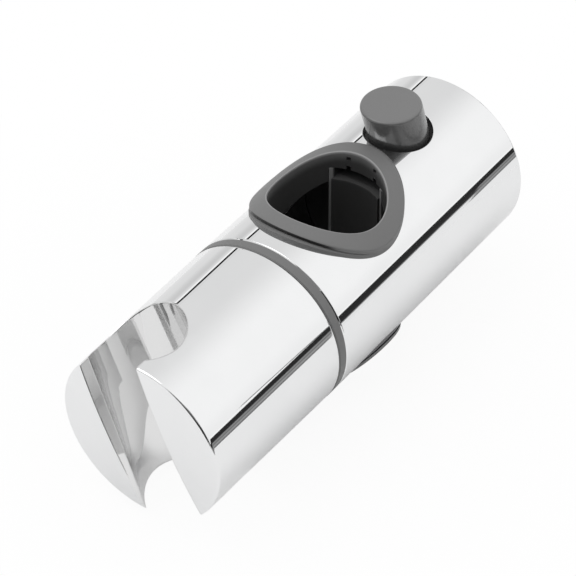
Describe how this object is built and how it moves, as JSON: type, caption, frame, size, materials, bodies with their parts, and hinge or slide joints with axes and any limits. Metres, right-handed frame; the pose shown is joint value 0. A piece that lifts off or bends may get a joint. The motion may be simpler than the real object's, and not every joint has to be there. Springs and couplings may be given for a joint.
{
  "type": "shower rail slider",
  "caption": "Handset holder that clamps on a round shower rail by a sprung jaw; a leaning button frees it and a slotted cradle turns on its end.",
  "frame": {"origin": "where the axis of the rail meets the axis of the barrel", "axes": "+X along the barrel away from the cradle, +Z along the rail to the button's side"},
  "size_m": [0.1188, 0.042, 0.0522],
  "materials": {
    "chrome_barrel": "polished",
    "chrome_cradle": "polished",
    "grey_trim": "satin",
    "grey_collar": "satin",
    "grey_button": "satin",
    "dark_plastic": "matt",
    "jaw_plastic": "satin",
    "rubber": "matt",
    "steel": "plain"
  },
  "bodies": {
    "slider_body": {"barrel_shell": "chrome_barrel", "end_cap": "chrome_barrel", "friction_ring": "grey_trim", "top_gasket": "grey_trim", "top_collar": "grey_collar", "bottom_gasket": "grey_trim", "bottom_collar": "grey_collar", "rail_shoe": "dark_plastic", "shoe_pad": "rubber", "carrier": "dark_plastic", "carrier_screw": "steel", "jaw_spring_1": "steel", "jaw_spring_2": "steel", "button_spring": "steel"},
    "cradle_body": {"cradle": "chrome_cradle", "pivot_screw": "steel", "pivot_washer": "steel", "disc_spring": "steel"},
    "jaw_body": {"clamp_jaw": "jaw_plastic", "jaw_pad": "rubber"},
    "button_body": {"button": "grey_button", "cross_pin": "steel"}
  },
  "joints": [
    {"name": "cradle_turn", "type": "hinge", "parent": "slider_body", "child": "cradle_body", "pos_m": [-0.0381, 0, 0], "axis": [1, 0, 0], "continuous": true},
    {"name": "button_press", "type": "slide", "parent": "slider_body", "child": "button_body", "axis": [0.3253, 0, -0.9456], "range_m": [0, 0.0045], "stiffness_N_per_m": 1200, "springref_m": -0.004, "deforming": ["button_spring"]},
    {"name": "jaw_slide", "type": "slide", "parent": "slider_body", "child": "jaw_body", "axis": [1, 0, 0], "range_m": [0, 0.00147], "stiffness_N_per_m": 3000, "springref_m": -0.003, "deforming": ["jaw_spring_1", "jaw_spring_2"]}
  ],
  "couplings": [
    {"joint": "jaw_slide", "follows": "button_press", "ratio": 0.32525}
  ]
}
